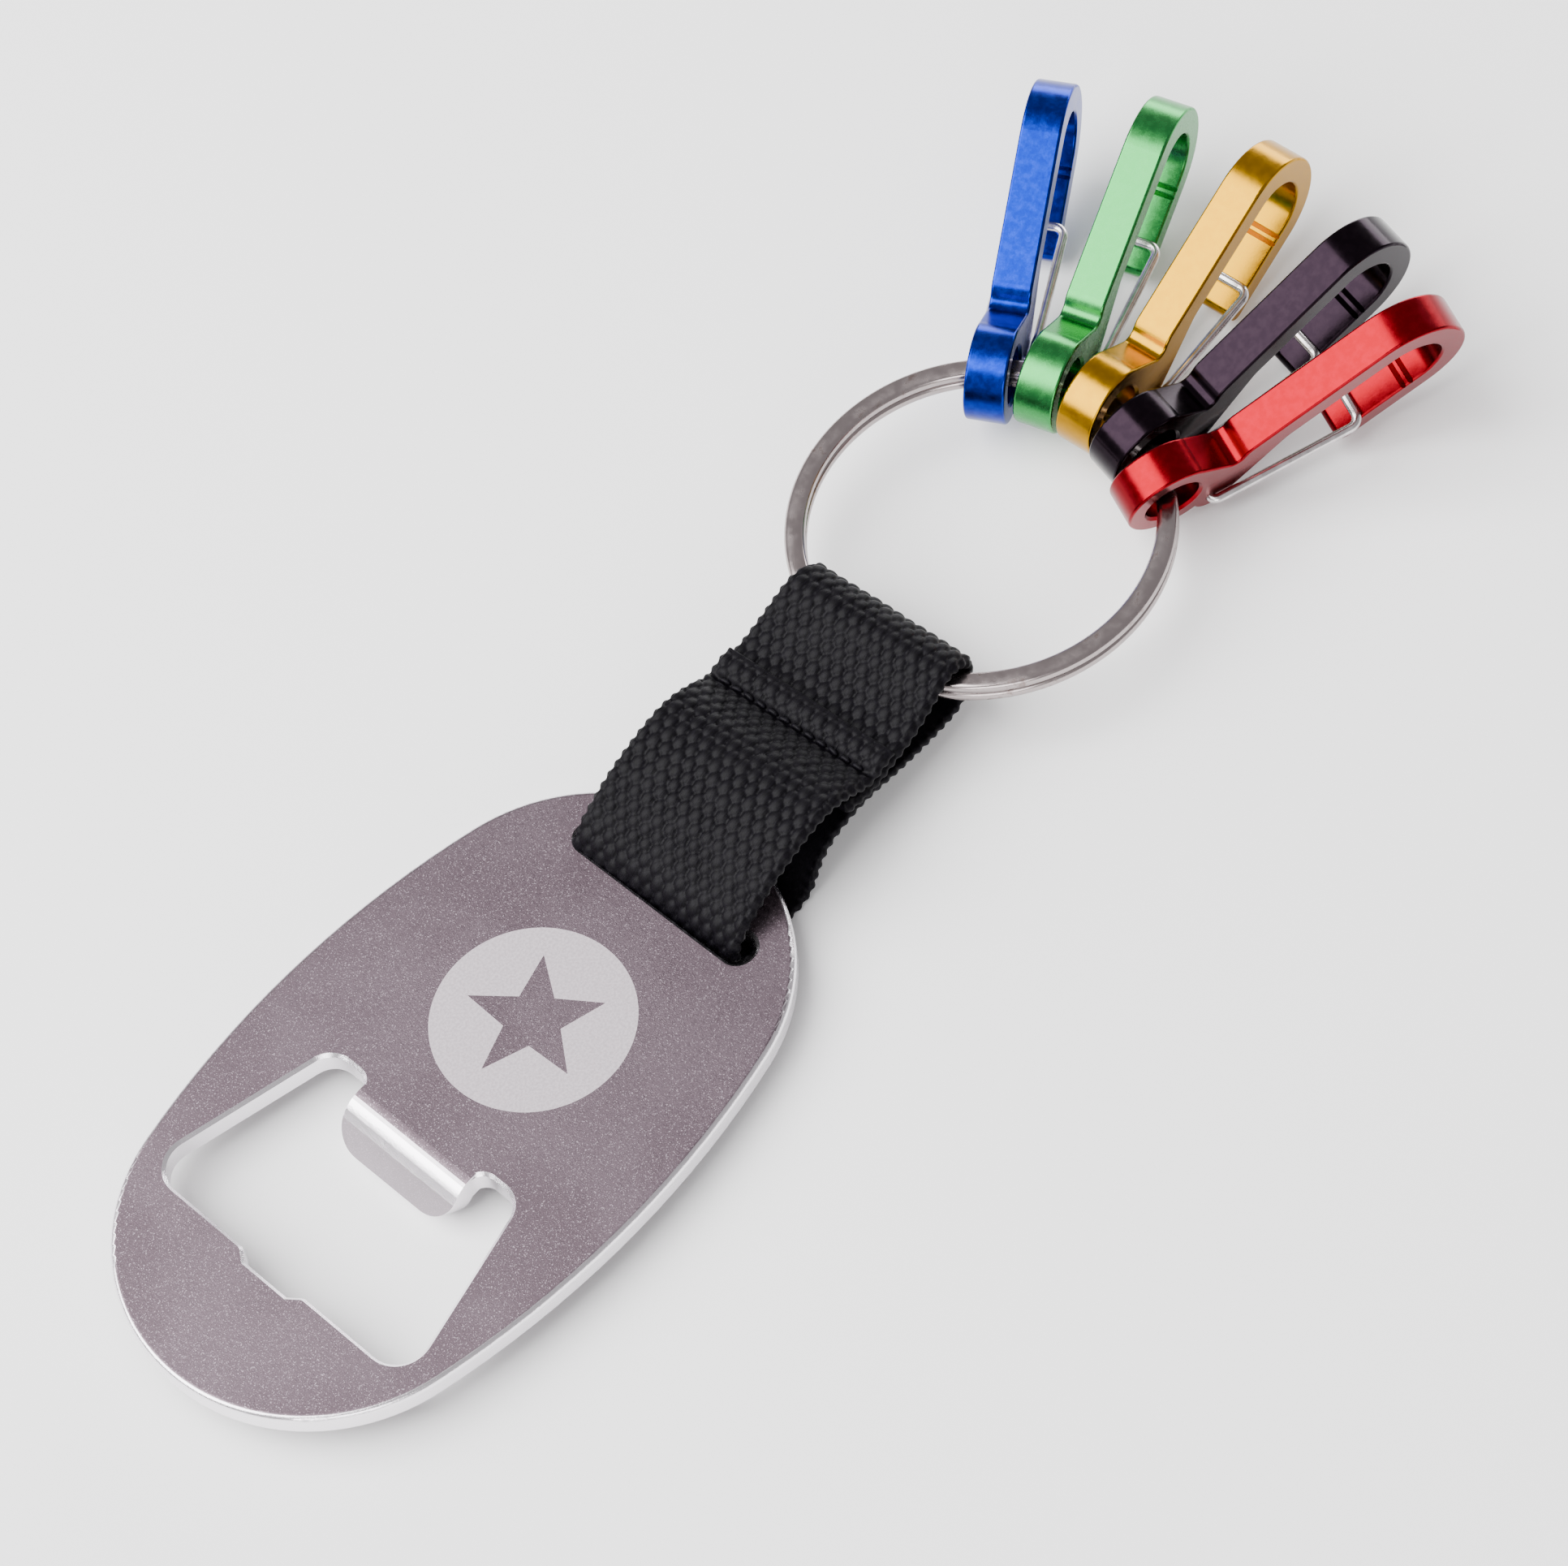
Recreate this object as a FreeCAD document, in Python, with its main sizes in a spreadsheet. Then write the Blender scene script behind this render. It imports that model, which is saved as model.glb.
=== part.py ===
import FreeCAD, Part
import math
import os
import re
import Sketcher

# Keychain bottle opener: an oval aluminium plate with a crown-cap mouth, a webbing strap
# through its slot, a split ring in the strap and five mini carabiners on the ring.
#
# Frame, in millimetres: +X runs from the opener's tip to the ring, +Z is up, and the
# origin is the middle of the plate's flat underside.

Vector = FreeCAD.Vector
Rotation = FreeCAD.Rotation

SIZES = {
    # opener plate
    "plate_length": 68.0,
    "plate_width": 40.0,
    "plate_thickness": 2.6,
    "plate_end_radius": 18.2,
    "plate_edge_round": 0.55,
    # crown-cap mouth
    "mouth_tip_margin": 12.2,
    "mouth_depth": 16.5,
    "mouth_wide": 31.4,
    "mouth_narrow": 22.6,
    "mouth_lobe_rise": 1.6,
    "mouth_lobe_outer": 2.4,
    "mouth_lobe_inner": 1.4,
    "mouth_corner_round": 2.8,
    "mouth_edge_chamfer": 0.3,
    "notch_width": 5.0,
    "notch_flare": 1.2,
    "notch_depth": 0.9,
    # prying lip, bent down from the mouth's inner edge
    "lip_width": 13.4,
    "lip_reach": 3.7,
    "lip_flat": 0.7,
    "lip_drop": 3.2,
    "lip_gauge": 2.3,
    "lip_bend_round": 2.6,
    "lip_corner_round": 2.8,
    "lip_root": 1.0,
    # strap slot
    "slot_end_margin": 6.6,
    "slot_width": 3.2,
    "slot_length": 20.4,
    "slot_corner_round": 1.45,
    # webbing strap
    "webbing_width": 18.6,
    "webbing_gauge": 1.2,
    "webbing_gap": 0.1,
    "strap_skew": 3.1,
    "strap_hinge_reach": 11.7,
    "anchor_reach": 8.9,
    "anchor_bend_round": 0.95,
    "overlap_start": 13.8,
    "overlap_reach": 20.4,
    "knuckle_wall_run": 3.2,
    "knuckle_wall_rise": 0.8,
    "stitch_count": 11.0,
    "stitch_length": 1.15,
    "stitch_width": 0.4,
    "stitch_height": 0.3,
    "stitch_round": 0.12,
    "stitch_inset": 2.8,
    "stitch_margin": 1.0,
    # split ring
    "ring_radius": 16.6,
    "ring_radial": 1.9,
    "ring_axial": 2.4,
    "ring_groove": 0.3,
    "ring_edge_round": 0.35,
    "ring_height": 6.2,
    "ring_tilt": 2.4,
    "ring_offset": 44.2,
    "ring_play": 0.15,
    # mini carabiners
    "clip_gauge": 3.8,
    "clip_spine_start": 7.9,
    "clip_spine_length": 14.7,
    "clip_spine_level": -1.0,
    "clip_width": 12.0,
    "clip_spine_wall": 2.5,
    "clip_nose_wall": 2.2,
    "clip_nose_reach": 9.6,
    "clip_eye_radius": 4.5,
    "clip_eye_hole": 2.7,
    "clip_root_drop": 3.6,
    "clip_root_rise": 3.4,
    "clip_root_run": 3.6,
    "clip_root_shoulder": 2.7,
    "clip_waist_run": 1.6,
    "clip_waist_round": 1.0,
    "clip_shoulder_round": 2.0,
    "clip_notch_level": -1.9,
    "clip_throat_run": 3.2,
    "clip_arch_flat": 0.05,
    "clip_nose_round": 0.88,
    "clip_edge_round": 0.25,
    "clip_grip_groove": 0.25,
    "clip_grip_spacing": 0.8,
    "clip_grip_reach": 1.0,
    "gate_pivot_run": 2.0,
    "gate_pivot_drop": 4.6,
    "gate_lobe_radius": 1.75,
    "gate_lobe_sink": 1.2,
    # wire gates
    "gate_wire": 0.9,
    "gate_pin_depth": 1.1,
    "gate_pin_play": 0.04,
    "gate_side_play": 0.06,
    "gate_seat_play": 0.05,
    "gate_rest_run": 13.9,
    "gate_pin_bend": 0.6,
    "gate_bar_bend": 1.05,
}

# Each carabiner at rest, in degrees: its eye's place round the ring, the way its spine
# points, how far its tip is raised and how far its spine leans towards -Y.
CLIPS = [
    ("blue", 37.5, 28.0, 26.5, 2.0),
    ("green", 19.0, 16.0, 26.5, 3.0),
    ("gold", 0.5, 3.0, 26.5, 2.0),
    ("black", -18.0, -14.5, 26.5, 8.5),
    ("red", -36.5, -27.5, 28.5, 15.0),
]

FUNCTIONS = {"sin", "cos", "tan", "asin", "acos", "atan", "sqrt"}

# How near two places must be to count as the same when edges are picked.
TINY = 1e-4
CLOSE = 1e-3

doc = FreeCAD.newDocument("BottleOpener")
sheet = doc.addObject("Spreadsheet::Sheet", "Sizes")
for row, (alias, value) in enumerate(SIZES.items(), start=1):
    sheet.set(f"A{row}", alias)
    sheet.set(f"B{row}", str(value))
    sheet.setAlias(f"B{row}", alias)
doc.recompute()


def linked(formula):
    """The formula with each size's name pointing at its cell in the sheet."""
    def point(match):
        word = match.group(0)
        return word if word in FUNCTIONS else f"Sizes.{word}"
    return re.sub(r"[a-z][a-z_]+", point, formula)


def value_of(formula):
    """The number that a formula of sizes gives now."""
    return float(sheet.evalExpression(linked(formula)))


def bind(thing, name, formula):
    """Set a property to a formula of sizes and keep it tied to them."""
    thing.setExpression(name, linked(formula))


def plane_of(body, role):
    return next(f for f in body.Origin.OriginFeatures if f.Role == role)


def new_body(label):
    body = doc.addObject("PartDesign::Body", label.replace("_", " ").title().replace(" ", ""))
    body.Label = label
    return body


def new_sketch(body, name, role="XY_Plane"):
    sketch = body.newObject("Sketcher::SketchObject", name)
    sketch.AttachmentSupport = [(plane_of(body, role), "")]
    sketch.MapMode = "FlatFace"
    return sketch


def pin_point(sketch, line, end, x, y):
    """Hold one end of a line at x, y from the sketch's origin, by formula."""
    for kind, formula in (("DistanceX", x), ("DistanceY", y)):
        index = sketch.addConstraint(Sketcher.Constraint(kind, -1, 1, line, end, value_of(formula)))
        bind(sketch, f"Constraints[{index}]", formula)


def polygon(sketch, corners):
    """A closed polygon whose corners are held by formula."""
    places = [Vector(value_of(x), value_of(y), 0) for x, y in corners]
    lines = []
    for start, end in zip(places, places[1:] + places[:1]):
        lines.append(sketch.addGeometry(Part.LineSegment(start, end), False))
    for line, following in zip(lines, lines[1:] + lines[:1]):
        sketch.addConstraint(Sketcher.Constraint("Coincident", line, 2, following, 1))
    for line, (x, y) in zip(lines, corners):
        pin_point(sketch, line, 1, x, y)


def circle(sketch, radius, x="0", y="0"):
    """A circle held by formula."""
    centre = Vector(value_of(x), value_of(y), 0)
    index = sketch.addGeometry(Part.Circle(centre, Vector(0, 0, 1), value_of(radius)), False)
    pin_point(sketch, index, 3, x, y)
    size = sketch.addConstraint(Sketcher.Constraint("Radius", index, value_of(radius)))
    bind(sketch, f"Constraints[{size}]", radius)


def feature(body, kind, name, profile, length, midplane=True, upward=True):
    """A pad or pocket of a sketch; a pocket must remove material."""
    before = body.Shape.Volume if body.Tip else 0.0
    made = body.newObject(kind, name)
    made.Profile = profile
    bind(made, "Length", length)
    made.Midplane = midplane
    made.Reversed = not upward
    doc.recompute()
    grown = body.Shape.Volume - before
    if (grown < 0) != (kind == "PartDesign::Pocket"):
        raise RuntimeError(f"{name} does not change {body.Label} as meant")
    return made


def pad(body, name, profile, length, **way):
    return feature(body, "PartDesign::Pad", name, profile, length, **way)


def pocket(body, name, profile, length, **way):
    return feature(body, "PartDesign::Pocket", name, profile, length, **way)


def edges_where(shape, test):
    return [f"Edge{i}" for i, edge in enumerate(shape.Edges, start=1) if test(edge)]


def upright_edge_at(x, y):
    """Test for a straight edge along Z through x, y."""
    def test(edge):
        box = edge.BoundBox
        flat = box.XLength < TINY and box.YLength < TINY
        return flat and math.hypot(box.Center.x - x, box.Center.y - y) < CLOSE
    return test


def dress(body, kind, name, test, size_name, formula):
    """A fillet or chamfer of the edges of the body's last feature that pass a test."""
    base = body.Tip
    found = edges_where(base.Shape, test)
    if not found:
        raise RuntimeError(f"{name} finds no edge on {body.Label}")
    made = body.newObject(kind, name)
    made.Base = (base, found)
    bind(made, size_name, formula)
    doc.recompute()
    if made.Shape.isNull() or not made.Shape.isValid():
        raise RuntimeError(f"{name} fails on {body.Label}")
    return made


def round_edges(body, name, test, formula):
    return dress(body, "PartDesign::Fillet", name, test, "Radius", formula)


def bevel_edges(body, name, test, formula):
    return dress(body, "PartDesign::Chamfer", name, test, "Size", formula)


def round_corners(body, name, corners, formula):
    """Round a pad's or pocket's upright corners at the given formula places."""
    tests = [upright_edge_at(value_of(x), value_of(y)) for x, y in corners]
    return round_edges(body, name, lambda edge: any(test(edge) for test in tests), formula)


def turned(origin, along, across, upward):
    """The placement whose local X, Y and Z axes are the three given directions."""
    matrix = FreeCAD.Matrix(
        along.x, across.x, upward.x, origin.x,
        along.y, across.y, upward.y, origin.y,
        along.z, across.z, upward.z, origin.z,
        0, 0, 0, 1)
    return FreeCAD.Placement(matrix)


# ------------------------------------------------------------------ opener plate

def oval(sketch, length, width, end_radius):
    """Two end arcs and two side arcs, tangent where they meet."""
    half = f"({length}) / 2"
    reach = f"({half} - {end_radius})"
    side = f"({width}) / 2"
    side_radius = (f"(({reach})^2 + ({side})^2 - ({end_radius})^2)"
                   f" / (2 * ({side} - {end_radius}))")
    a, r, s, big = (value_of(f) for f in (reach, end_radius, side, side_radius))
    lean = math.atan2(a, big - s)
    up = math.pi / 2
    arcs = []
    for centre, radius, start, end in (
            (Vector(a, 0, 0), r, lean - up, up - lean),
            (Vector(0, s - big, 0), big, up - lean, up + lean),
            (Vector(-a, 0, 0), r, up + lean, 3 * up - lean),
            (Vector(0, big - s, 0), big, 3 * up - lean, 3 * up + lean)):
        base = Part.Circle(centre, Vector(0, 0, 1), radius)
        arcs.append(sketch.addGeometry(Part.ArcOfCircle(base, start, end), False))
    for arc, following in zip(arcs, arcs[1:] + arcs[:1]):
        sketch.addConstraint(Sketcher.Constraint("Tangent", arc, 2, following, 1))
    pin_point(sketch, arcs[0], 3, reach, "0")
    pin_point(sketch, arcs[2], 3, f"-{reach}", "0")
    for arc, formula in zip(arcs, (end_radius, side_radius) * 2):
        index = sketch.addConstraint(Sketcher.Constraint("Radius", arc, value_of(formula)))
        bind(sketch, f"Constraints[{index}]", formula)


def opener_plate():
    body = new_body("opener_plate")
    top = value_of("plate_thickness")

    outline = new_sketch(body, "PlateOutline")
    oval(outline, "plate_length", "plate_width", "plate_end_radius")
    pad(body, "PlateBlank", outline, "plate_thickness", midplane=False)
    round_edges(body, "PlateEdge", lambda edge: edge.BoundBox.ZLength < TINY, "plate_edge_round")

    wide_x = "mouth_tip_margin - plate_length / 2"
    fold_x = f"{wide_x} + mouth_depth"
    lobe_x = f"{fold_x} + mouth_lobe_rise"
    notch_x = f"{wide_x} - notch_depth"
    wide_y = "mouth_wide / 2"
    narrow_y = "mouth_narrow / 2"
    lip_y = "lip_width / 2"
    notch_y = "notch_width / 2"
    flare_y = "notch_width / 2 + notch_flare"
    right = [(wide_x, flare_y), (wide_x, wide_y), (lobe_x, narrow_y), (lobe_x, lip_y),
             (fold_x, lip_y)]
    left = [(x, f"-({y})") for x, y in reversed(right)]
    notch = [(notch_x, f"-({notch_y})"), (notch_x, notch_y)]
    mouth = new_sketch(body, "Mouth")
    polygon(mouth, right + left + notch)
    pocket(body, "MouthCut", mouth, "plate_thickness", midplane=False, upward=False)
    both = ("", "-")
    round_corners(body, "MouthCorners",
                  [(wide_x, f"{sign}({wide_y})") for sign in both], "mouth_corner_round")
    for name, level, formula in (("MouthLobesOuter", narrow_y, "mouth_lobe_outer"),
                                 ("MouthLobesInner", lip_y, "mouth_lobe_inner")):
        round_corners(body, name, [(lobe_x, f"{sign}({level})") for sign in both], formula)
    round_corners(body, "NotchCorners",
                  [(wide_x, f"{sign}({flare_y})") for sign in both], "notch_depth")

    centre_x = "plate_length / 2 - slot_end_margin - slot_width / 2"
    near_x = f"{centre_x} - slot_width / 2"
    far_x = f"{centre_x} + slot_width / 2"
    ends = ("-slot_length / 2", "slot_length / 2")
    corners = [(near_x, ends[0]), (far_x, ends[0]), (far_x, ends[1]), (near_x, ends[1])]
    slot = new_sketch(body, "Slot")
    polygon(slot, corners)
    pocket(body, "SlotCut", slot, "plate_thickness", midplane=False, upward=False)
    round_corners(body, "SlotCorners", corners, "slot_corner_round")

    fold = value_of(fold_x)
    reach_y = value_of(lip_y)
    widest = value_of(wide_y) + CLOSE
    furthest = value_of(far_x) + CLOSE

    def opening_edge(edge):
        box = edge.BoundBox
        level = box.ZLength < TINY and (abs(box.ZMin - top) < TINY or abs(box.ZMin) < TINY)
        inside = max(-box.YMin, box.YMax) < widest and box.XMax < furthest
        on_fold = abs(box.Center.x - fold) < CLOSE and box.YLength > reach_y
        return level and inside and not on_fold
    bevel_edges(body, "OpeningEdges", opening_edge, "mouth_edge_chamfer")

    # The lip's side profile: flat at its root, bent down, with a square tip.
    drop = "lip_drop"
    run = "(lip_reach - lip_flat)"
    slope = f"sqrt({run}^2 + {drop}^2)"
    lean_x = f"lip_gauge * {drop} / {slope}"
    lean_z = f"lip_gauge * {run} / {slope}"
    tip_x = f"{fold_x} - lip_reach"
    bend_x = f"{fold_x} - lip_flat"
    under_run = f"(plate_thickness - {drop} - {lean_z}) * {run} / {drop}"
    profile = [
        (f"{fold_x} + lip_root", "plate_thickness"),
        (bend_x, "plate_thickness"),
        (tip_x, f"plate_thickness - {drop}"),
        (f"{tip_x} + {lean_x}", f"plate_thickness - {drop} - {lean_z}"),
        (f"{tip_x} + {lean_x} - {under_run}", "0"),
        (f"{fold_x} + lip_root", "0"),
    ]
    side = new_sketch(body, "LipSide", "XZ_Plane")
    polygon(side, profile)
    pad(body, "Lip", side, "lip_width")

    bend = value_of(bend_x)
    tip = value_of(tip_x)
    tip_top = value_of("plate_thickness - lip_drop")

    def bend_edge(edge):
        box = edge.BoundBox
        along_y = box.XLength < TINY and box.ZLength < TINY and box.YLength > reach_y
        return along_y and abs(box.XMin - bend) < CLOSE and abs(box.ZMin - top) < CLOSE
    round_edges(body, "LipBend", bend_edge, "lip_bend_round")

    def lip_corner(edge):
        box = edge.BoundBox
        at_side = box.YLength < TINY and abs(abs(box.YMin) - reach_y) < CLOSE
        return at_side and abs(box.XMin - tip) < CLOSE and abs(box.ZMax - tip_top) < CLOSE
    round_edges(body, "LipCorners", lip_corner, "lip_corner_round")
    return body


# ------------------------------------------------------------------ webbing strap

SLOT_CENTRE = "(plate_length / 2 - slot_end_margin - slot_width / 2)"
RING_NEAR = "(ring_offset - ring_radius)"
RING_BOW = "(ring_radius - sqrt(ring_radius^2 - (webbing_width / 2)^2))"
# The strap's eye turns about the middle of the wire that bows through it.
EYE_REACH = f"({RING_NEAR} + {RING_BOW} / 2)"
EYE_INNER = (f"(sqrt(({RING_BOW} / 2 + ring_radial / 2)^2 + (ring_axial / 2)^2)"
             " + ring_play)")
EYE_LEVEL = "(ring_height - ring_radius * sin(ring_tilt))"
HINGE_LEVEL = "(plate_thickness / 2)"
HINGE_RADIUS = "(plate_thickness / 2 + webbing_gap + webbing_gauge)"


def strap_frame(height=0.0):
    """The frame of the strap, above the slot's middle and turned by the strap's skew."""
    skew = math.radians(value_of("strap_skew"))
    along = Vector(math.cos(skew), math.sin(skew), 0)
    across = Vector(-math.sin(skew), math.cos(skew), 0)
    origin = Vector(value_of(SLOT_CENTRE), 0, height)
    return turned(origin, along, across, Vector(0, 0, 1))


def strap_anchor():
    """The run of webbing that goes through the slot and round the plate's end bar."""
    body = new_body("strap_anchor")
    gauge = "webbing_gauge"
    over = "plate_thickness + webbing_gap"
    under = "-webbing_gap"
    profile = [
        (f"-{gauge} / 2", f"{under} - {gauge}"),
        ("anchor_reach", f"{under} - {gauge}"),
        ("anchor_reach", under),
        (f"{gauge} / 2", under),
        (f"{gauge} / 2", over),
        ("anchor_reach", over),
        ("anchor_reach", f"{over} + {gauge}"),
        (f"-{gauge} / 2", f"{over} + {gauge}"),
    ]
    side = new_sketch(body, "AnchorSide", "XZ_Plane")
    polygon(side, profile)
    pad(body, "AnchorRun", side, "webbing_width")
    outer_x = value_of(f"-{gauge} / 2")

    def outer_edge(edge):
        box = edge.BoundBox
        along_y = box.XLength < TINY and box.ZLength < TINY
        return along_y and abs(box.XMin - outer_x) < CLOSE
    round_edges(body, "AnchorBends", outer_edge, "anchor_bend_round")
    body.Placement = strap_frame()
    return body


def belt(first_x, first_z, first_radius, last_x, last_z, last_radius):
    """The wire round two circles in the XZ plane, with the straight runs between them."""
    first = Vector(first_x, 0, first_z)
    last = Vector(last_x, 0, last_z)
    span = last - first
    bearing = math.atan2(span.z, span.x)
    spread = math.acos((first_radius - last_radius) / span.Length)

    def rim(centre, radius, angle):
        return centre + Vector(math.cos(angle), 0, math.sin(angle)) * radius
    top = bearing + spread
    low = bearing - spread
    points = [rim(first, first_radius, top), rim(last, last_radius, top),
              rim(last, last_radius, bearing), rim(last, last_radius, low),
              rim(first, first_radius, low), rim(first, first_radius, bearing + math.pi)]
    return Part.Wire([
        Part.LineSegment(points[0], points[1]).toShape(),
        Part.Arc(points[1], points[2], points[3]).toShape(),
        Part.LineSegment(points[3], points[4]).toShape(),
        Part.Arc(points[4], points[5], points[0]).toShape(),
    ])


def webbing_slab(wire):
    """A wire in the XZ plane, padded to the webbing's width about Y = 0."""
    width = value_of("webbing_width")
    slab = Part.Face(wire).extrude(Vector(0, width, 0))
    slab.translate(Vector(0, -width / 2, 0))
    return slab


def strap_top_line():
    """Start, direction and normal of the strap's straight top run, in the strap's frame."""
    hinge = Vector(value_of("strap_hinge_reach"), 0, value_of(HINGE_LEVEL))
    eye = Vector(value_of(EYE_REACH), 0, value_of(EYE_LEVEL))
    outer = value_of(f"{EYE_INNER} + webbing_gauge")
    knuckle = value_of(HINGE_RADIUS)
    span = eye - hinge
    angle = math.atan2(span.z, span.x) + math.acos((knuckle - outer) / span.Length)
    normal = Vector(math.cos(angle), 0, math.sin(angle))
    along = Vector(normal.z, 0, -normal.x)
    return hinge + normal * knuckle, along, normal


def strap():
    """The strap between the plate and the ring: a flattened loop, its upper run doubled."""
    gauge = value_of("webbing_gauge")
    hinge = (value_of("strap_hinge_reach"), value_of(HINGE_LEVEL))
    eye = (value_of(EYE_REACH), value_of(EYE_LEVEL))
    knuckle = value_of(HINGE_RADIUS)
    inner = value_of(EYE_INNER)
    outside = webbing_slab(belt(*hinge, knuckle, *eye, inner + gauge))
    wall = (hinge[0] + value_of("knuckle_wall_run"), hinge[1] + value_of("knuckle_wall_rise"))
    inside = webbing_slab(belt(*wall, knuckle - gauge, *eye, inner))

    start, along, normal = strap_top_line()
    first = start + along * ((value_of("overlap_start") - start.x) / along.x)
    last = start + along * ((value_of("overlap_reach") - start.x) / along.x)
    corners = [first, last, last + normal * gauge, first + normal * gauge]
    double = webbing_slab(Part.makePolygon(corners + corners[:1]))

    shape = outside.cut(inside).fuse(double).removeSplitter()
    made = doc.addObject("Part::Feature", "StrapWeb")
    made.Label = "strap_web"
    made.Shape = shape
    made.Placement = strap_frame()
    return made


def seam_thread():
    """One row of stitches across the strap, just behind the overlapping end."""
    gauge = value_of("webbing_gauge")
    length = value_of("stitch_length")
    width = value_of("stitch_width")
    start, along, normal = strap_top_line()
    run = (value_of("overlap_reach") - value_of("stitch_inset") - start.x) / along.x
    seat = start + along * run + normal * gauge
    count = int(value_of("stitch_count"))
    pitch = value_of("webbing_width - 2 * stitch_margin") / count
    stitches = []
    for index in range(count):
        stitch = Part.makeBox(width, length, value_of("stitch_height"))
        upper = [edge for edge in stitch.Edges if edge.BoundBox.ZMin > CLOSE]
        stitch = stitch.makeFillet(value_of("stitch_round"), upper)
        stitch.translate(Vector(0, pitch * (index - (count - 1) / 2) - length / 2, 0))
        stitch.Placement = turned(seat, along, Vector(0, 1, 0), normal).multiply(stitch.Placement)
        stitches.append(stitch)
    made = doc.addObject("Part::Feature", "SeamThread")
    made.Label = "seam_thread"
    made.Shape = Part.makeCompound(stitches)
    made.Placement = strap_frame()
    return made


# ------------------------------------------------------------------ split ring

def ring_frame():
    """The ring's own frame: its centre, its tilt, and +X towards the carabiners."""
    skew = math.radians(value_of("strap_skew"))
    tilt = math.radians(value_of("ring_tilt"))
    heading = Vector(math.cos(skew), math.sin(skew), 0)
    across = Vector(-math.sin(skew), math.cos(skew), 0)
    centre = Vector(value_of(SLOT_CENTRE), 0, value_of("ring_height"))
    centre = centre + heading * value_of("ring_offset")
    along = heading * math.cos(tilt) + Vector(0, 0, math.sin(tilt))
    return turned(centre, along, across, along.cross(across))


def split_ring():
    """Two flat coils of one wire, lying on each other, as one turned section."""
    body = new_body("split_ring")
    half = "ring_axial / 2"
    inner = "ring_radius - ring_radial / 2"
    outer = "ring_radius + ring_radial / 2"
    corners = [
        (inner, f"-{half}"),
        (outer, f"-{half}"),
        (outer, "-ring_groove / 2"),
        (f"{outer} - ring_groove", "0"),
        (outer, "ring_groove / 2"),
        (outer, half),
        (inner, half),
        (inner, "ring_groove / 2"),
        (f"{inner} + ring_groove", "0"),
        (inner, "-ring_groove / 2"),
    ]
    section = new_sketch(body, "CoilSection", "XZ_Plane")
    polygon(section, corners)
    turn = body.newObject("PartDesign::Revolution", "Coils")
    turn.Profile = section
    turn.ReferenceAxis = (section, ["V_Axis"])
    turn.Angle = 360
    doc.recompute()
    level = value_of(half)
    round_edges(body, "CoilEdges",
                lambda edge: abs(abs(edge.BoundBox.Center.z) - level) < CLOSE, "ring_edge_round")
    body.Placement = ring_frame()
    return body


# ------------------------------------------------------------------ mini carabiners

CLIP_TIP = "(clip_spine_start + clip_spine_length)"
NOSE_OUTER = "(clip_spine_level - clip_width)"
NOSE_INNER = f"({NOSE_OUTER} + clip_nose_wall)"
SPINE_INNER = "(clip_spine_level - clip_spine_wall)"
ARCH_END = f"({CLIP_TIP} + clip_width / 2)"
NOSE_END = f"({CLIP_TIP} - clip_nose_reach)"
# How far the closed gate's bar lies below its pins, on the nose's inner face.
GATE_SINK = f"(-{NOSE_INNER} - gate_wire / 2 - gate_seat_play - gate_pivot_drop)"


def clip_frame(around, heading, raised, lean):
    """A carabiner's frame: its eye on the ring, X along its spine, Y up its width."""
    ring = ring_frame()
    skew = value_of("strap_skew")
    angle = math.radians(around - skew)
    eye = ring.multVec(Vector(math.cos(angle), math.sin(angle), 0) * value_of("ring_radius"))
    turn, rise, tip_over = (math.radians(a) for a in (heading, raised, lean))
    along = Vector(math.cos(turn) * math.cos(rise), math.sin(turn) * math.cos(rise), math.sin(rise))
    side = Vector(-math.sin(turn), math.cos(turn), 0)
    upward = along.cross(side)
    leant_up = upward * math.cos(tip_over) - side * math.sin(tip_over)
    return turned(eye, along, leant_up, along.cross(leant_up))


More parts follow.
